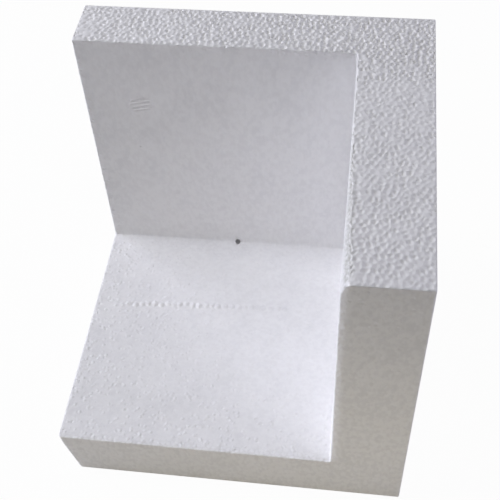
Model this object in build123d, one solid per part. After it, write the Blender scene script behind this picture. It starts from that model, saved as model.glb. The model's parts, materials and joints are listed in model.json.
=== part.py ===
"""Packing corner moulded in one piece from expanded polystyrene foam.

Three thick walls, a floor, a back wall and a side wall, meet round a pocket that takes one corner
of a packed product. X runs to the right, Y to the back and Z up. The origin is at the middle of
the underside of the block's box, and every size is in millimetres.
"""
import os

from build123d import *

# Outer block
width = 150.0
depth = 143.0
height = 150.0

# Walls round the pocket, which is open to the left, to the front and to the top
side_wall = 31.0
back_wall = 24.5
floor_wall = 27.0

# Left end of the floor: upright for a short land below the pocket, then leaning under
end_land = 3.5
end_lean = 4.5

# Roundings: outer edges, the pocket's creases, and the side wall's inner rim at its front end
edge_round = 1.2
crease_round = 1.0
rim_round = 4.0
rim_drop = 8.0

# Pin hole in the crease between floor and back wall, sunk along the bisector of the two
pin_hole_diameter = 2.6
pin_hole_depth = 9.0
pin_hole_from_side_wall = 55.0

# Vent mark on the back wall, where a slotted vent of the mould stood a little proud: a shallow round
# recess, with ribs left between its slots that are turned a little from the level
vent_diameter = 10.0
vent_rib_count = 5
vent_rib_width = 0.9
vent_depth = 0.3
vent_rib_turn = 15.0
vent_from_side_wall = 94.0
vent_from_rim = 34.0

# Length by which cutting tools run past the faces that they cut
overrun = 5.0

# Places worked out from the sizes above
left = -width / 2
right = width / 2
front = -depth / 2
back = depth / 2
pocket_side = right - side_wall
pocket_back = back - back_wall
pocket_floor = floor_wall


def block():
    """Outline seen from the front, with the leaning end, drawn out over the depth."""
    lean_top = pocket_floor - end_land
    with BuildPart() as part:
        with BuildSketch(Plane.XZ.offset(-back)):
            with BuildLine():
                Polyline(
                    (left + end_lean, 0),
                    (right, 0),
                    (right, height),
                    (left, height),
                    (left, lean_top),
                    close=True,
                )
            make_face()
        extrude(amount=depth)
    return part.part


def pocket():
    """Space of the pocket, run out past its three open sides."""
    with BuildPart() as part:
        with BuildSketch(Plane.XY.offset(pocket_floor)):
            with BuildLine():
                Polyline(
                    (left - overrun, front - overrun),
                    (pocket_side, front - overrun),
                    (pocket_side, pocket_back),
                    (left - overrun, pocket_back),
                    close=True,
                )
            make_face()
        extrude(amount=height - pocket_floor + overrun)
    return part.part


def rim_cutter():
    """Rounding of the side wall's inner rim: full at the front, nothing at the pocket's corner."""
    with BuildPart() as part:
        with BuildSketch(Plane.XZ.offset(-front)) as full:
            with BuildLine():
                EllipticalCenterArc(
                    (pocket_side + rim_round, height - rim_drop),
                    rim_round,
                    rim_drop,
                    start_angle=90,
                    arc_size=90,
                )
                Polyline(
                    (pocket_side, height - rim_drop),
                    (pocket_side - overrun, height - rim_drop),
                    (pocket_side - overrun, height + overrun),
                    (pocket_side + rim_round, height + overrun),
                    (pocket_side + rim_round, height),
                )
            make_face()
        loft(sections=[full.sketch, Vertex(pocket_side, pocket_back - crease_round, height)])
    return part.part


def pin_hole():
    """Blind round hole that starts at the crease and runs down and back."""
    crease = Vector(pocket_side - pin_hole_from_side_wall, pocket_back, pocket_floor)
    inward = Vector(0, 1, -1).normalized()
    mouth = Plane(crease - inward * overrun, z_dir=inward)
    return extrude(mouth * Circle(pin_hole_diameter / 2), amount=pin_hole_depth + overrun)


def vent_mark():
    """Shallow round recess, without the parallel ribs that stay level with the back wall's face."""
    centre = (pocket_side - vent_from_side_wall, pocket_back, height - vent_from_rim)
    face = Plane(centre, x_dir=(1, 0, 0), z_dir=(0, -1, 0)) * Rot(0, 0, vent_rib_turn)
    pitch = vent_diameter / vent_rib_count
    with BuildPart() as part:
        with BuildSketch(face):
            Circle(vent_diameter / 2)
            with GridLocations(0, pitch, 1, vent_rib_count):
                Rectangle(vent_diameter, vent_rib_width, mode=Mode.SUBTRACT)
        extrude(amount=-vent_depth)
    return part.part


def foam_corner():
    """The whole block: pocket, roundings, rim, pin hole and vent mark."""
    body = block() - pocket()

    # The three creases run into one ball-shaped corner
    pocket_corner = (pocket_side, pocket_back, pocket_floor)
    creases = body.edges().sort_by_distance(pocket_corner)[:3]
    body = fillet(creases, crease_round)
    body -= rim_cutter()

    # Every outline of the outer faces is rounded, apart from the shallow bend where the end leans under.
    # The back wall's inner rim, which only the top shares, stays sharp.
    faces = body.faces()
    left_end = faces.sort_by(Axis.X)[0]
    right_side = faces.sort_by(Axis.X)[-1]
    front_ends = faces.sort_by(Axis.Y)[0]
    back_side = faces.sort_by(Axis.Y)[-1]
    underside = faces.sort_by(Axis.Z)[0]
    bend = left_end.edges().sort_by(Axis.Z)[0]
    outlines = []
    for face in (left_end, right_side, front_ends, back_side, underside):
        for edge in face.edges():
            if edge != bend and edge not in outlines:
                outlines.append(edge)
    body = fillet(outlines, edge_round)

    return body - pin_hole() - vent_mark()


os.makedirs("parts", exist_ok=True)
export_step(foam_corner(), "parts/foam_corner.step")
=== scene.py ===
import json
import math

import bmesh
import bpy
import numpy as np
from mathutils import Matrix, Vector


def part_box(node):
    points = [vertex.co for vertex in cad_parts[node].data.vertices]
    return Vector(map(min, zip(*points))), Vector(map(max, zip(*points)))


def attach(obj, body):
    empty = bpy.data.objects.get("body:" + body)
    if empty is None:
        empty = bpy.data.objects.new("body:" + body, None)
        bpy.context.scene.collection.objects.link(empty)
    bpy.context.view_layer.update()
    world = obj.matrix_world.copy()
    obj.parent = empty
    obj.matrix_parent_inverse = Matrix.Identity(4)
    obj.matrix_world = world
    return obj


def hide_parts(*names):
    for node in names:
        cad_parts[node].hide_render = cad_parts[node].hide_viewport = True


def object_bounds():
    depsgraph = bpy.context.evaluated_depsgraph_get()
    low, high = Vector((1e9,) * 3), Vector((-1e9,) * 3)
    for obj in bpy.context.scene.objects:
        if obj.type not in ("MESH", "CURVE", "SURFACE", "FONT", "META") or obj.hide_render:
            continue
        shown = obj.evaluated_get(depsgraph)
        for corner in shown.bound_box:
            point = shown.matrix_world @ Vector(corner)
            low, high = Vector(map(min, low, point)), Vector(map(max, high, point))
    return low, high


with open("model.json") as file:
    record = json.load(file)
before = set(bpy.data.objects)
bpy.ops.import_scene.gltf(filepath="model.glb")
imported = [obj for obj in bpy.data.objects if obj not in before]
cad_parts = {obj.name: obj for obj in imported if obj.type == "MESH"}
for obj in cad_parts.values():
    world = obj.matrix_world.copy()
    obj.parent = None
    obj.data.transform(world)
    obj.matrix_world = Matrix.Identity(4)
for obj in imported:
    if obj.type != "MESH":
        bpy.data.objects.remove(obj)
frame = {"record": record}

cad_low, cad_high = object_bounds()


# Foam block
# One block of expanded polystyrene, steam-moulded from beads of about two millimetres. A floor, a back
# wall and a side wall meet round a pocket. The mould left the pocket nearly smooth, and the top was cut,
# so that every bead there shows as a shallow cup with a raised seam round it.

block_low, block_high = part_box("foam_corner")
left, front, underside = block_low
right, back, top = block_high
seats = {mount["name"]: mount["pos_m"] for mount in frame["record"]["mounts"]}
pocket_side = seats["pocket_side"][0]
pocket_back = seats["pocket_back"][1]
pocket_floor = seats["pocket_floor"][2]

# Lean of the floor's left end, below a short upright land
end_land = 0.0035
end_lean = 0.0045
end_lean_fade = 0.02
lean_top = pocket_floor - end_land

# Roundings of the outer edges, of the pocket's creases and of the side wall's inner rim
edge_round = 0.0006
corner_round = 0.0022
wall_end_roll = 0.004
wall_end_bend = 60.0
crease_round = 0.001
sharp_rim = 0.0004
rim_round = 0.004
rim_drop = 0.008
rim_growth_power = 2.2

# Pin hole that slants down into the crease between floor and back wall
pin_hole_radius = 0.0013
pin_hole_depth = 0.003
pin_hole_lip = 0.0003
# Painted shade inside the pin hole
pin_hole_painted_shade = 0.2
pin_hole_from_side = 0.055
pin_hole_mouth = np.array([pocket_side - pin_hole_from_side, pocket_back, pocket_floor])
pin_hole_inward = np.array([0.0, 1.0, -1.0]) / math.sqrt(2)
pin_hole_across = np.array([1.0, 0.0, 0.0])
pin_hole_up = np.array([0.0, 1.0, 1.0]) / math.sqrt(2)

# Mark of a round slotted vent on the back wall
vent_radius = 0.005
vent_rib_count = 5
vent_depth = 0.0004
vent_edge_fade = 0.0005
vent_rib_turn = math.radians(15)
vent_from_side = 0.094
vent_below_top = 0.034
vent_centre = np.array([pocket_side - vent_from_side, pocket_back, top - vent_below_top])

# Row of whole beads across the floor
row_start = left + 0.01
row_end = left + 0.0944

# Spacing of the mesh: coarse over plain faces, finer in bands along the open edges
grid_cell = 0.005
band_depth = 0.0055
band_cell = 0.0006
lines_beside_edges = (0.0002, 0.0005, 0.001)
hair = 1e-6


def grid_lines(stops, open_end):
    """Even lines between the faces that a direction meets, closer beside each face and the open end."""
    lines = list(stops)
    margin = lines_beside_edges[-1]
    for start, end in zip(stops, stops[1:]):
        lines += [start + step for step in lines_beside_edges]
        lines += [end - step for step in lines_beside_edges]
        first = start + margin
        last = end - margin
        if open_end == start:
            lines += list(np.arange(first + band_cell, start + band_depth, band_cell))
            first = lines[-1]
        if open_end == end:
            lines += list(np.arange(last - band_cell, end - band_depth, -band_cell))
            last = lines[-1]
        count = max(round((last - first) / grid_cell), 1)
        lines += list(np.linspace(first, last, count + 1)[1:-1])
    return np.array(sorted(lines))


def block_quads():
    """Corner points and outward quads of the block with sharp edges, on one grid of lines."""
    lines = [
        grid_lines((left, pocket_side, right), left),
        grid_lines((front, pocket_back, back), front),
        grid_lines((underside, pocket_floor, top), top),
    ]
    middles = [(line[1:] + line[:-1]) / 2 for line in lines]
    x, y, z = np.meshgrid(*middles, indexing="ij")
    filled = (x > pocket_side) | (y > pocket_back) | (z < pocket_floor)
    step_in = np.pad(filled, 1).astype(int)
    corners = []
    for axis in range(3):
        second = (axis + 1) % 3
        third = (axis + 2) % 3
        change = np.diff(step_in, axis=axis)
        for sign in (1, -1):
            cells = np.argwhere(change == sign)
            cells[:, second] -= 1
            cells[:, third] -= 1
            ring = [(0, 0), (1, 0), (1, 1), (0, 1)]
            if sign == 1:
                ring.reverse()
            for steps in ring:
                corner = cells.copy()
                corner[:, second] += steps[0]
                corner[:, third] += steps[1]
                corners.append(corner)
    quads = np.concatenate([np.stack(corners[i:i + 4], axis=1) for i in range(0, len(corners), 4)])
    grid_points, numbers = np.unique(quads.reshape(-1, 3), axis=0, return_inverse=True)
    points = np.stack([lines[i][grid_points[:, i]] for i in range(3)], axis=1)
    return points, numbers.reshape(-1, 4)


# Strips of the mesh that are cut finer, and the margins of the floor that are not
end_strip = 0.004
floor_side_margin = 0.01
floor_back_margin = 0.008
front_strip_stop = 0.0015
row_strip_x = (left + 0.0085, left + 0.0965)
row_strip_y = (pocket_back - 0.047, pocket_back - 0.038)
wall_end_strip = 0.0065
vent_reach = vent_radius * 1.9
vent_inner_reach = vent_radius * 1.1
pin_hole_reach = pin_hole_radius * 4


def refine(bm, inside, cuts, longest):
    """Cuts up the edges that lie inside a region and are longer than a limit."""
    chosen = [e for e in bm.edges if e.calc_length() > longest and all(inside(v.co) for v in e.verts)]
    bmesh.ops.subdivide_edges(bm, edges=chosen, cuts=cuts, use_grid_fill=True)


def on_cut_top(p):
    """The top, with the bands of the pocket's walls below it and the back wall's left end."""
    on_side_wall = abs(p.x - pocket_side) < hair and p.y < pocket_back + hair
    in_pocket = p.x < pocket_side + hair and p.z > pocket_floor - hair
    on_back_wall = abs(p.y - pocket_back) < hair and in_pocket
    by_rim = p.z > top - band_depth - hair
    by_end = p.x < left + end_strip
    return p.z > top - hair or (on_side_wall and by_rim) or (on_back_wall and (by_rim or by_end))


def on_pocket_floor(p):
    """The pocket's floor, without the strips beside its walls."""
    clear_of_walls = p.x < pocket_side - floor_side_margin and p.y < pocket_back - floor_back_margin
    return abs(p.z - pocket_floor) < hair and clear_of_walls


def on_floor_front(p):
    """Strip of the floor along its open front edge."""
    by_edge = p.y < front + band_depth and p.x < pocket_side - front_strip_stop
    return abs(p.z - pocket_floor) < hair and by_edge


def on_bead_row(p):
    """Strip of the floor with the row of whole beads."""
    in_strip = row_strip_x[0] < p.x < row_strip_x[1] and row_strip_y[0] < p.y < row_strip_y[1]
    return on_pocket_floor(p) and in_strip


def on_wall_end(p):
    """Strip of the front face beside the side wall's inner edge."""
    by_edge = pocket_side - hair < p.x < pocket_side + wall_end_strip
    return abs(p.y - front) < hair and by_edge and p.z > pocket_floor - hair


def near_vent(p):
    """The vent mark and the back wall round it."""
    return abs(p.y - pocket_back) < hair and (p - Vector(vent_centre)).length < vent_reach


def inside_vent(p):
    """The vent mark alone."""
    return abs(p.y - pocket_back) < hair and (p - Vector(vent_centre)).length < vent_inner_reach


def near_pin_hole(p):
    """The crease round the pin hole's mouth."""
    return (p - Vector(pin_hole_mouth)).length < pin_hole_reach


def rounded_union(distances, radius):
    """Distance to the nearest of several forms, with a fillet where two of them meet."""
    reach = np.maximum(radius - distances, 0)
    return np.maximum(radius, distances.min(axis=0)) - np.sqrt((reach ** 2).sum(axis=0))


def rounded_overlap(distances, radius):
    """Distance to what several forms share, with a rounding where two of them meet."""
    reach = np.maximum(distances + radius, 0)
    return np.minimum(-radius, distances.max(axis=0)) + np.sqrt((reach ** 2).sum(axis=0))


def rim_growth(y):
    """How far the side wall's inner rim is rounded: nothing at the pocket's corner, all at the front."""
    return np.clip((pocket_back - y) / (pocket_back - front), 0, 1) ** rim_growth_power


def form_distance(points):
    """Distance from the faces of the rounded block, below zero inside the foam."""
    x, y, z = points.T
    walls = rounded_union(np.stack([pocket_side - x, pocket_back - y, z - pocket_floor]), crease_round)
    across = sharp_rim + (rim_round - sharp_rim) * rim_growth(y)
    squeeze = across / (sharp_rim + (rim_drop - sharp_rim) * rim_growth(y))
    reach = np.maximum(walls + across, 0)
    reach_top = np.maximum((z - top) * squeeze + across, 0)
    length = np.hypot(reach, reach_top)
    steepness = np.hypot(reach, reach_top * squeeze) / np.maximum(length, hair)
    rounded = (length - across) / np.maximum(steepness, hair)
    rim = np.where(length > hair, rounded, np.maximum(walls, z - top))
    lean = math.atan2(end_lean, lean_top)
    leaning = -(x - left) * math.cos(lean) - (z - lean_top) * math.sin(lean)
    roll = np.clip(pocket_side + wall_end_roll - x, 0, wall_end_roll) ** 2 * wall_end_bend
    roll *= np.clip((z - pocket_floor) / wall_end_roll, 0, 1)
    left_end = np.maximum(left - x, leaning)
    left_front = rounded_overlap(np.stack([left_end, front + roll - y]), corner_round)
    sides = [left_front, x - right, y - back, underside - z, rim]
    return rounded_overlap(np.stack(sides), edge_round)


def form_slope(points):
    """Direction in which the distance from the block's faces grows."""
    step = 2e-6
    slope = np.zeros_like(points)
    for axis in range(3):
        shift = np.zeros(3)
        shift[axis] = step
        slope[:, axis] = (form_distance(points + shift) - form_distance(points - shift)) / (2 * step)
    return slope


def settle(points):
    """Moves the sharp grid on to the rounded block: lean and rim first, then each edge."""
    rounds = 8
    points = points.copy()
    x, y, z = points.T
    sink = np.clip((lean_top - z) / lean_top, 0, 1)
    x += end_lean * sink * np.clip(1 - (x - left) / end_lean_fade, 0, 1)
    across = sharp_rim + (rim_round - sharp_rim) * rim_growth(y)
    down = sharp_rim + (rim_drop - sharp_rim) * rim_growth(y)
    u = np.clip((pocket_side + across - x) / across, 0, 1)
    v = np.clip((z - top + down) / down, 0, 1)
    at_rim = (u > 0) & (v > 0) & (x > pocket_side - hair) & (y < pocket_back + hair)
    x[at_rim] = (pocket_side + across - across * u * np.sqrt(1 - v * v / 2))[at_rim]
    z[at_rim] = (top - down + down * v * np.sqrt(1 - u * u / 2))[at_rim]
    for _ in range(rounds):
        slope = form_slope(points)
        points -= (form_distance(points) / (slope ** 2).sum(axis=1))[:, None] * slope
    return points


# Beads: cut open on the top, broken along worn edges, and showing as spots on the moulded faces
cut_pitch = 0.0025
cut_shake = 0.42
cup_depth = 0.00075
least_cup = 0.35
cup_steepness = 2.5
lump_pitch = 0.0023
lump_shake = 0.4
lump_depth = 0.0006
spot_pitch = 0.0022
spot_shake = 0.35
spot_radius = 0.0008
proud_from = 0.6
proud_span = 0.4
hollow_from = 0.25
hollow_span = 0.2
rng = np.random.default_rng(7)


def nearest_beads(u, v, pitch, shake):
    """Beads in staggered rows, shaken out of line: how far the two nearest lie from each point, and the
    chance drawn for the nearest."""
    spare = 8
    lead_in = 3
    row_pitch = pitch * math.sqrt(3) / 2
    row_count = int((v.max() - v.min()) / row_pitch) + spare
    column_count = int((u.max() - u.min()) / pitch) + spare
    rows = rng.uniform(-shake, shake, (row_count, column_count)) * pitch
    columns = rng.uniform(-shake, shake, (row_count, column_count)) * pitch
    chances = rng.random((row_count, column_count))
    home_row = np.floor((v - v.min()) / row_pitch).astype(int) + lead_in
    distances = []
    bead_chances = []
    for row_step in range(-2, 4):
        row = home_row + row_step
        stagger = (row % 2) * pitch / 2
        home_column = np.floor((u - u.min() - stagger) / pitch).astype(int) + lead_in
        for column_step in range(-1, 3):
            column = home_column + column_step
            bead_u = u.min() + stagger + (column - lead_in) * pitch + columns[row, column]
            bead_v = v.min() + (row - lead_in) * row_pitch + rows[row, column]
            distances.append(np.hypot(u - bead_u, v - bead_v))
            bead_chances.append(chances[row, column])
    order = np.argsort(distances, axis=0)[:2]
    nearest, second = np.take_along_axis(np.array(distances), order, axis=0)
    chance = np.take_along_axis(np.array(bead_chances), order[:1], axis=0)[0]
    return nearest, second, chance


def cut_beads(u, v):
    """Depth of a cut face: each bead is a cup of its own depth, parted from the next by a sharp ridge."""
    nearest, second, chance = nearest_beads(u, v, cut_pitch, cut_shake)
    bead_depth = cup_depth * (least_cup + (1 - least_cup) * chance)
    return bead_depth * (1 - (2 * nearest / (nearest + second)) ** cup_steepness)


def broken_beads(u, v):
    """Depth between the beads of a worn edge, where each stands up by itself."""
    nearest, second, _ = nearest_beads(u, v, lump_pitch, lump_shake)
    return lump_depth * (2 * nearest / (nearest + second)) ** 2


def moulded_beads(u, v):
    """Relief of a moulded face, from 1 on a bead that stands up to -1 where one did not fill out."""
    nearest, _, chance = nearest_beads(u, v, spot_pitch, spot_shake)
    proud = np.clip((chance - proud_from) / proud_span, 0, 1)
    hollow = np.clip((hollow_from - chance) / hollow_span, 0, 1)
    return (proud - hollow) * np.exp(-(nearest / spot_radius) ** 2)


sharp_points, quads = block_quads()
bm = bmesh.new()
bm_verts = [bm.verts.new(point) for point in sharp_points]
for quad in quads:
    bm.faces.new([bm_verts[i] for i in quad])

# Regions cut finer, each with the number of cuts and the length above which an edge is cut
finer_regions = [
    (on_cut_top, 11, 0.0011),
    (on_pocket_floor, 5, 0.0011),
    (on_floor_front, 11, 0.0011),
    (on_floor_front, 1, 0.0005),
    (on_bead_row, 1, 0.0005),
    (on_wall_end, 7, 0.0011),
    (near_vent, 9, 0.0011),
    (inside_vent, 1, 0.0004),
    (near_pin_hole, 1, 0.002),
    (near_pin_hole, 1, 0.001),
    (near_pin_hole, 1, 0.0005),
    (near_pin_hole, 1, 0.00035),
]
for region, cuts, longest in finer_regions:
    refine(bm, region, cuts, longest)
bmesh.ops.triangulate(bm, faces=[face for face in bm.faces if len(face.verts) > 4])
bm.verts.index_update()

sharp = np.array([v.co[:] for v in bm.verts])
sharp_x, sharp_y, sharp_z = sharp.T
in_x = sharp_x < pocket_side + hair
in_y = sharp_y < pocket_back + hair
in_z = sharp_z > pocket_floor - hair
is_top = sharp_z > top - hair
is_floor = (np.abs(sharp_z - pocket_floor) < hair) & in_x & in_y
is_back_wall = (np.abs(sharp_y - pocket_back) < hair) & in_x & in_z & ~is_top
is_side_wall = (np.abs(sharp_x - pocket_side) < hair) & in_y & in_z & ~is_top & ~is_back_wall
by_inner_edge = (sharp_x > pocket_side - hair) & (sharp_x < pocket_side + wall_end_strip)
is_wall_end = (np.abs(sharp_y - front) < hair) & by_inner_edge & in_z

points = settle(sharp)
normals = form_slope(points)
normals /= np.linalg.norm(normals, axis=1)[:, None]
x, y, z = points.T
relief = np.zeros(len(points))

# Cut top, coarsest along the back, whose beads follow the rounded rim down and fade out below it
cup_strength = 0.9
back_cup_strengths = (0.95, 1.95)
back_strip_fade = 0.02
sharp_rim_reach = 0.0005
round_rim_reach = 0.006
band_fade = 0.002
outer_edge_strength = 0.6
outer_edge_fade = 0.001
rim_stretch = 0.8
on_cut = is_top | is_side_wall | is_back_wall
below = np.clip(top - z[on_cut], 0, None)
growth = rim_growth(y[on_cut])
in_band = np.clip((band_depth - below) / band_fade, 0, 1)
outer_gap = np.minimum(np.minimum(x - left, right - x), np.minimum(y - front, back - y))[on_cut]
back_strength = np.interp(x[on_cut], (left, pocket_side), back_cup_strengths)
on_back_strip = np.clip((y[on_cut] - pocket_back + back_strip_fade) / back_strip_fade, 0, 1)
strength = cup_strength + (back_strength - cup_strength) * on_back_strip
strength *= np.exp(-(below / (sharp_rim_reach + round_rim_reach * growth)) ** 2)
strength *= in_band
strength *= np.clip(outer_edge_strength + outer_gap / outer_edge_fade, 0, 1)
spread_out = x[on_cut] + (z[on_cut] - top) * rim_stretch
relief[on_cut] -= cut_beads(spread_out, y[on_cut]) * strength

# Worn rim of the side wall, where single beads have broken away; painted shade darkens the band, most in
# the gaps between the beads
worn_start_width = 0.001
worn_added_width = 0.003
worn_onset = 4
worn_end_fade = 0.004
rim_painted_shade = 0.15
rim_gap_painted_shade = 1.1
worn = np.exp(-((spread_out - pocket_side) / (worn_start_width + worn_added_width * growth)) ** 2)
worn *= np.clip(growth * worn_onset, 0, 1)
worn *= in_band * np.clip(outer_gap / worn_end_fade, 0, 1) * (y < pocket_back)[on_cut]
gaps = broken_beads(spread_out, y[on_cut])
relief[on_cut] -= gaps * worn
# Painted shade over the worn band, deepest in the gaps between its beads
stain = np.zeros(len(points))
stain[on_cut] = np.clip((rim_painted_shade + rim_gap_painted_shade * gaps / lump_depth) * worn, 0, 1)

# Moulded floor of the pocket, roughest along its open left and front edges
floor_edge_fade = 0.006
floor_front_fade = 0.0035
floor_lump_fade = 0.03
floor_spots = 0.0001
floor_edge_spots = 0.00018
floor_front_spots = 0.0002
floor_lumps = 0.00012
floor_front_lumps = 0.0007
front_gap_painted_shade = 0.4
floor_gap = np.minimum(x - left, y - front)[is_floor]
floor_edge = np.exp(-floor_gap / floor_edge_fade)
floor_front = np.exp(-((y - front)[is_floor] / floor_front_fade) ** 2)
spot_height = floor_spots + floor_edge_spots * floor_edge + floor_front_spots * floor_front
relief[is_floor] += moulded_beads(x[is_floor], y[is_floor]) * spot_height
gaps = broken_beads(x[is_floor], y[is_floor]) / lump_depth
gap_depth = floor_front_lumps * floor_front + floor_lumps * np.exp(-floor_gap / floor_lump_fade)
relief[is_floor] -= gaps * gap_depth
# Painted shade in the gaps between the lumps along the floor's front edge
stain[is_floor] = np.clip(front_gap_painted_shade * gaps ** 3 * floor_front, 0, 1)

# Row of whole beads that stand up across the floor, strongest left of the middle and glossier
row_bends_x = (row_start, left + 0.041, row_end)
row_bends_y = (pocket_back - 0.0449, pocket_back - 0.0421, pocket_back - 0.0402)
row_rise_x = (row_start, left + 0.025, left + 0.06, row_end)
row_rise_shares = (0.3, 1, 1, 0.3)
row_wander = 0.0005
row_bead_radii = (0.0014, 0.0019)
row_bead_rises = (0.0004, 0.00055)
row_bead_steps = (0.0026, 0.0038)
gloss_gain = 3
gloss = np.zeros(len(points))
row_x = row_start
while row_x < row_end:
    row_y = np.interp(row_x, row_bends_x, row_bends_y) + rng.uniform(-row_wander, row_wander)
    radius = rng.uniform(*row_bead_radii)
    rise = rng.uniform(*row_bead_rises) * np.interp(row_x, row_rise_x, row_rise_shares)
    cap = np.clip(1 - ((x - row_x) / radius) ** 2 - ((y - row_y) / radius) ** 2, 0, 1)
    relief = np.where(is_floor, np.maximum(relief, rise * cap), relief)
    gloss = np.maximum(gloss, np.clip(cap * gloss_gain, 0, 1) * is_floor)
    row_x += rng.uniform(*row_bead_steps)

# Moulded back wall, uneven only beside its open edges
wall_edge_fade = 0.0025
wall_spots = 0.00025
wall_gap = np.minimum(x - left, top - z)[is_back_wall]
wall_edge = np.exp(-wall_gap / wall_edge_fade) * np.clip((band_depth - wall_gap) / band_fade, 0, 1)
relief[is_back_wall] += moulded_beads(x[is_back_wall], z[is_back_wall]) * wall_spots * wall_edge

# Front end of the side wall, nicked along its inner edge below the rounded rim
end_edge_fade = 0.002
end_top_fade = 0.006
end_spots = 0.0003
end_x = x[is_wall_end]
end_z = z[is_wall_end]
end_edge = np.exp(-(end_x - pocket_side) / end_edge_fade)
end_edge *= np.clip((top - rim_drop - end_z) / end_top_fade, 0, 1)
relief[is_wall_end] += moulded_beads(end_x, end_z) * end_spots * end_edge

# Vent mark, sunk where the bars of a slotted vent pressed into the foam
vent_x = x - vent_centre[0]
vent_z = z - vent_centre[2]
along = vent_x * math.cos(vent_rib_turn) + vent_z * math.sin(vent_rib_turn)
over = vent_z * math.cos(vent_rib_turn) - vent_x * math.sin(vent_rib_turn)
rib_pitch = 2 * vent_radius / vent_rib_count
from_rib = np.abs((over / rib_pitch + vent_rib_count / 2) % 1 - 0.5) * rib_pitch
in_vent = is_back_wall & (along ** 2 + over ** 2 < vent_radius ** 2)
groove = 0.5 - 0.5 * np.cos(2 * math.pi * from_rib / rib_pitch)
groove *= np.clip((vent_radius - np.hypot(along, over)) / vent_edge_fade, 0, 1)
relief -= np.where(in_vent, vent_depth * groove, 0)

# How strongly the fine skin of the beads shows: least on the cut top, most beside open edges
outer_skin = 0.8
floor_skin = 0.5
floor_edge_skin = 0.5
floor_skin_fade = 0.035
wall_skin = 0.3
wall_edge_skin = 2.5
top_skin = 0.2
skin = np.full(len(points), outer_skin)
skin[is_floor] = floor_skin + floor_edge_skin * np.exp(-floor_gap / floor_skin_fade)
skin[is_back_wall] = wall_skin + wall_edge_skin * wall_edge
skin[is_top] = top_skin

# How uneven the colour is: most on the outside, least on the cut top and the floor
outer_uneven = 1.8
floor_uneven = 0.8
floor_edge_uneven = 0.4
wall_uneven = 1.0
top_uneven = 0.8
uneven = np.full(len(points), outer_uneven)
uneven[is_floor] = floor_uneven + floor_edge_uneven * floor_edge
uneven[is_back_wall | is_side_wall] = wall_uneven
uneven[is_top] = top_uneven

points += normals * relief[:, None]
skin_layer = bm.verts.layers.float.new("skin")
gloss_layer = bm.verts.layers.float.new("gloss")
# Painted shade of the rim, the floor's front edge and the pin hole, kept at the corners of the mesh
painted_shade_layer = bm.verts.layers.float.new("stain")
uneven_layer = bm.verts.layers.float.new("uneven")
for number, vert in enumerate(bm.verts):
    vert.co = points[number]
    vert[skin_layer] = skin[number]
    vert[gloss_layer] = gloss[number]
    vert[painted_shade_layer] = stain[number]
    vert[uneven_layer] = uneven[number]


def hole_place(vert):
    """Where a corner lies across, up and into the pin hole."""
    offset = np.array(vert.co) - pin_hole_mouth
    return offset @ pin_hole_across, offset @ pin_hole_up, offset @ pin_hole_inward


def hole_point(across, up, inward):
    """The point that lies so far across, up and into the pin hole."""
    return pin_hole_mouth + across * pin_hole_across + up * pin_hole_up + inward * pin_hole_inward


def over_hole(vert):
    """Whether a corner lies over the pin hole's mouth."""
    across, up, inward = hole_place(vert)
    return math.hypot(across, up) < pin_hole_radius and abs(inward) < pin_hole_depth


def hole_angle(vert):
    """Direction of a corner, seen along the pin hole."""
    across, up, _ = hole_place(vert)
    return math.atan2(up, across)


def sink_pin_hole(bm):
    """Opens the mesh round the pin hole's mouth and lines it with a blind tube, ring by ring."""
    covered = [face for face in bm.faces if all(over_hole(vert) for vert in face.verts)]
    bmesh.ops.delete(bm, geom=covered, context="FACES")
    open_edges = [edge for edge in bm.edges if len(edge.link_faces) == 1]
    ring = sorted({vert for edge in open_edges for vert in edge.verts}, key=hole_angle)
    for vert in ring:
        across, up, _ = hole_place(vert)
        scale = pin_hole_radius / math.hypot(across, up)
        out = math.hypot(up * scale, crease_round * (math.sqrt(2) - 1))
        vert.co = hole_point(across * scale, up * scale, -out)
    for depth in (pin_hole_lip, pin_hole_depth / 2, pin_hole_depth):
        deeper = []
        for vert in ring:
            across, up, _ = hole_place(vert)
            deeper.append(bm.verts.new(hole_point(across, up, depth), vert))
            # Painted shade on the inner rings of the pin hole
            deeper[-1][painted_shade_layer] = pin_hole_painted_shade
        for i in range(len(ring)):
            bm.faces.new((ring[i - 1], ring[i], deeper[i], deeper[i - 1]))
        ring = deeper
    bm.faces.new(ring)
    bmesh.ops.recalc_face_normals(bm, faces=bm.faces)


sink_pin_hole(bm)
block_mesh = bpy.data.meshes.new("foam_block")
bm.to_mesh(block_mesh)
bm.free()
block_mesh.shade_smooth()
foam_block = bpy.data.objects.new("foam_block", block_mesh)
bpy.context.scene.collection.objects.link(foam_block)

foam = bpy.data.materials.new("white_bead_foam")
foam.use_nodes = True
nodes = foam.node_tree.nodes
links = foam.node_tree.links
shader = nodes["Principled BSDF"]
shader.inputs["Specular IOR Level"].default_value = 0.5
on_block = nodes.new("ShaderNodeTexCoord")
drawn_out = nodes.new("ShaderNodeMapping")
drawn_out.inputs["Scale"].default_value = (1.0, 1.0, 0.6)
links.new(on_block.outputs["Object"], drawn_out.inputs["Vector"])


def bead_pattern(scale):
    """Distance from the middle of the nearest of many cells of about bead size."""
    pattern = nodes.new("ShaderNodeTexVoronoi")
    pattern.feature = "F1"
    pattern.inputs["Scale"].default_value = scale
    pattern.inputs["Randomness"].default_value = 1.0
    links.new(on_block.outputs["Object"], pattern.inputs["Vector"])
    return pattern.outputs["Distance"]


def noise_pattern(scale, detail):
    """Soft blotches, drawn out upwards on the walls as the block left its mould."""
    pattern = nodes.new("ShaderNodeTexNoise")
    pattern.inputs["Scale"].default_value = scale
    pattern.inputs["Detail"].default_value = detail
    links.new(drawn_out.outputs["Vector"], pattern.inputs["Vector"])
    return pattern.outputs["Fac"]


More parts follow.
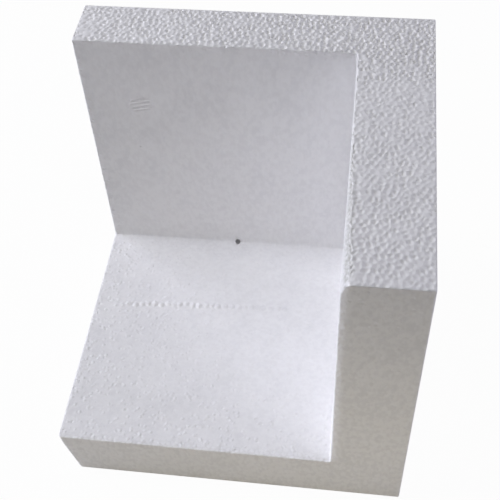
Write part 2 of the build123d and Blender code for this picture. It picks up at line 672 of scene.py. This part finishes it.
def ramp(source, low, high, to_low, to_high):
    """Turns one range of a value into another, with soft ends."""
    node = nodes.new("ShaderNodeMapRange")
    node.interpolation_type = "SMOOTHSTEP"
    node.inputs["From Min"].default_value = low
    node.inputs["From Max"].default_value = high
    node.inputs["To Min"].default_value = to_low
    node.inputs["To Max"].default_value = to_high
    links.new(source, node.inputs["Value"])
    return node.outputs["Result"]


def combine(operation, first, second):
    """Sum or product of two values."""
    node = nodes.new("ShaderNodeMath")
    node.operation = operation
    links.new(first, node.inputs[0])
    links.new(second, node.inputs[1])
    return node.outputs["Value"]


def vertex_value(name):
    """Value stored at the corners of the mesh."""
    node = nodes.new("ShaderNodeAttribute")
    node.attribute_name = name
    return node.outputs["Fac"]


def lay_painted_shade_and_smudge(colour, amount, stain):
    """Lays a darker grey over the foam's colour: painted shade in gaps and in the pin hole, and smudges of
    dirt on the back wall.
    """
    node = nodes.new("ShaderNodeMix")
    node.data_type = "RGBA"
    links.new(amount, node.inputs["Factor"])
    links.new(colour, node.inputs["A"])
    node.inputs["B"].default_value = stain
    return node.outputs["Result"]


# Relief of the skin: low domes, pits and a fine grain
dome = ramp(bead_pattern(scale=400), low=0.05, high=0.43, to_low=0.9, to_high=0.0)
pit = ramp(bead_pattern(scale=270), low=0.05, high=0.27, to_low=-0.85, to_high=0.0)
grain = ramp(noise_pattern(scale=1500, detail=1.0), low=0.2, high=0.8, to_low=0.0, to_high=0.1)
height = combine("ADD", combine("ADD", dome, pit), grain)
bump = nodes.new("ShaderNodeBump")
bump.inputs["Distance"].default_value = 0.0002
links.new(combine("MULTIPLY", height, vertex_value("skin")), bump.inputs["Height"])
links.new(bump.outputs["Normal"], shader.inputs["Normal"])

# Gloss: satin all over, and smoother on the whole beads of the row
roughness = ramp(vertex_value("gloss"), low=0.0, high=1.0, to_low=0.42, to_high=0.25)
links.new(roughness, shader.inputs["Roughness"])

# Colour: white, a little uneven from bead to bead and over a finger's breadth
blotch = noise_pattern(scale=80, detail=2.0)
mottle = ramp(noise_pattern(scale=520, detail=1.0), low=0.25, high=0.75, to_low=-0.28, to_high=0.28)
tone = nodes.new("ShaderNodeValToRGB")
tone.color_ramp.elements[0].position = 0.1
tone.color_ramp.elements[0].color = (0.9, 0.897, 0.92, 1)
tone.color_ramp.elements[1].position = 0.78
tone.color_ramp.elements[1].color = (0.985, 0.982, 1.0, 1)
bead_mottle = combine("MULTIPLY", mottle, vertex_value("uneven"))
links.new(combine("ADD", blotch, bead_mottle), tone.inputs["Fac"])

# Painted shade: a grey laid in the gaps between the beads of the worn rim and the floor's front edge, and
# in the pin hole
painted_shade_grey = (0.6, 0.6, 0.58, 1)
colour = lay_painted_shade_and_smudge(tone.outputs["Color"], vertex_value("stain"), painted_shade_grey)

# Smudges of handling on the back wall: distance from the side wall, height over the floor, reach, strength
smudge_grey = (0.3, 0.29, 0.29, 1)
smudges = [
    (0.0974, 0.0634, 0.0008, 0.35),
    (0.082, 0.033, 0.004, 0.06),
    (0.102, 0.013, 0.005, 0.06),
    (0.083, 0.009, 0.004, 0.06),
]
for from_side, over_floor, reach, strength in smudges:
    gap = nodes.new("ShaderNodeVectorMath")
    gap.operation = "DISTANCE"
    gap.inputs[1].default_value = (pocket_side - from_side, pocket_back, pocket_floor + over_floor)
    links.new(on_block.outputs["Object"], gap.inputs[0])
    amount = ramp(gap.outputs["Value"], low=0.0, high=reach, to_low=strength, to_high=0.0)
    colour = lay_painted_shade_and_smudge(colour, amount, smudge_grey)
links.new(colour, shader.inputs["Base Color"])

block_mesh.materials.append(foam)
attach(foam_block, "root")
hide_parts("foam_corner")


# Floor
# A plain pale table top, large enough to fill the view, that takes the block's soft shadow. It looks
# nearly white, and gives the block no more light than a pale table would.

floor_half = 3.0
floor_clearance = 0.0002
floor_level = underside - floor_clearance
floor_corners = [(-1, -1), (1, -1), (1, 1), (-1, 1)]
floor_points = [(a * floor_half, b * floor_half, floor_level) for a, b in floor_corners]
floor_mesh = bpy.data.meshes.new("floor")
floor_mesh.from_pydata(floor_points, [], [(0, 1, 2, 3)])
floor = bpy.data.objects.new("floor", floor_mesh)
bpy.context.scene.collection.objects.link(floor)
floor_material = bpy.data.materials.new("pale_floor")
floor_material.use_nodes = True
nodes = floor_material.node_tree.nodes
links = floor_material.node_tree.links
nodes.clear()
output = nodes.new("ShaderNodeOutputMaterial")
matte = nodes.new("ShaderNodeBsdfDiffuse")
matte.inputs["Color"].default_value = (0.8, 0.8, 0.8, 1)
white = nodes.new("ShaderNodeEmission")
path = nodes.new("ShaderNodeLightPath")
white_share = nodes.new("ShaderNodeMath")
white_share.operation = "MULTIPLY"
white_share.inputs[1].default_value = 0.97
mix = nodes.new("ShaderNodeMixShader")
links.new(path.outputs["Is Camera Ray"], white_share.inputs[0])
links.new(white_share.outputs[0], mix.inputs["Fac"])
links.new(matte.outputs[0], mix.inputs[1])
links.new(white.outputs[0], mix.inputs[2])
links.new(mix.outputs[0], output.inputs["Surface"])
floor_mesh.materials.append(floor_material)


# Light
# A window low on the left with a second one behind it, open sky above them, and weaker light from the
# right and, warm from the table, on the front. The room is pale and looks white behind the block.

world = bpy.data.worlds.new("pale_room")
bpy.context.scene.world = world
world.use_nodes = True
nodes = world.node_tree.nodes
links = world.node_tree.links
room = nodes["Background"]
room.inputs["Color"].default_value = (1.0, 1.0, 1.0, 1)
room.inputs["Strength"].default_value = 0.05
backdrop = nodes.new("ShaderNodeBackground")
backdrop.inputs["Strength"].default_value = 1.0
path = nodes.new("ShaderNodeLightPath")
camera_or_gloss = nodes.new("ShaderNodeMath")
camera_or_gloss.operation = "MAXIMUM"
seen = nodes.new("ShaderNodeMath")
seen.operation = "MAXIMUM"
links.new(path.outputs["Is Camera Ray"], camera_or_gloss.inputs[0])
links.new(path.outputs["Is Glossy Ray"], camera_or_gloss.inputs[1])
links.new(camera_or_gloss.outputs[0], seen.inputs[0])
links.new(path.outputs["Is Transmission Ray"], seen.inputs[1])
mix = nodes.new("ShaderNodeMixShader")
links.new(seen.outputs[0], mix.inputs["Fac"])
links.new(room.outputs[0], mix.inputs[1])
links.new(backdrop.outputs[0], mix.inputs[2])
links.new(mix.outputs[0], nodes["World Output"].inputs["Surface"])

block_middle = (cad_low + cad_high) / 2


def lamp(name, azimuth, elevation, distance, width, height, energy, colour):
    """Soft oblong lamp that faces the block from some way off."""
    data = bpy.data.lights.new(name, "AREA")
    data.shape = "RECTANGLE"
    data.size = width
    data.size_y = height
    data.energy = energy
    data.color = colour
    item = bpy.data.objects.new(name, data)
    bpy.context.scene.collection.objects.link(item)
    turn = math.radians(azimuth)
    rise = math.radians(elevation)
    away = Vector((math.cos(rise) * math.cos(turn), math.cos(rise) * math.sin(turn), math.sin(rise)))
    item.location = block_middle + away * distance
    item.rotation_mode = "QUATERNION"
    item.rotation_quaternion = (-away).to_track_quat("-Z", "Y")


lamp("window", azimuth=180, elevation=16, distance=1.3, width=0.4, height=0.4,
     energy=7.7, colour=(0.765, 0.79, 0.93))
lamp("second_window", azimuth=150, elevation=28, distance=1.3, width=0.4, height=0.4,
     energy=4.2, colour=(0.86, 0.86, 0.96))
lamp("sky", azimuth=180, elevation=60, distance=1.3, width=0.4, height=0.4,
     energy=4.6, colour=(1.0, 0.99, 0.96))
lamp("far_side", azimuth=0, elevation=20, distance=1.3, width=0.6, height=0.6,
     energy=5.7, colour=(0.82, 0.82, 1.0))
lamp("front_bounce", azimuth=278, elevation=-9, distance=0.22, width=0.3, height=0.05,
     energy=0.052, colour=(1.0, 0.87, 0.55))


# Camera
# Stands above the front right of the block and looks down into the pocket, as the photograph does.
# Its place, turn and lens were fitted to the block's edges.

camera_data = bpy.data.cameras.new("camera")
camera_data.sensor_width = 36.0
camera_data.lens = 67.154
camera_data.clip_start = 0.01
camera = bpy.data.objects.new("camera", camera_data)
camera.location = (0.04705, -0.25705, 0.38858)
camera.rotation_euler = (math.radians(39.936), math.radians(2.277), math.radians(7.008))
bpy.context.scene.collection.objects.link(camera)
bpy.context.scene.camera = camera
bpy.context.scene.view_settings.view_transform = "Standard"
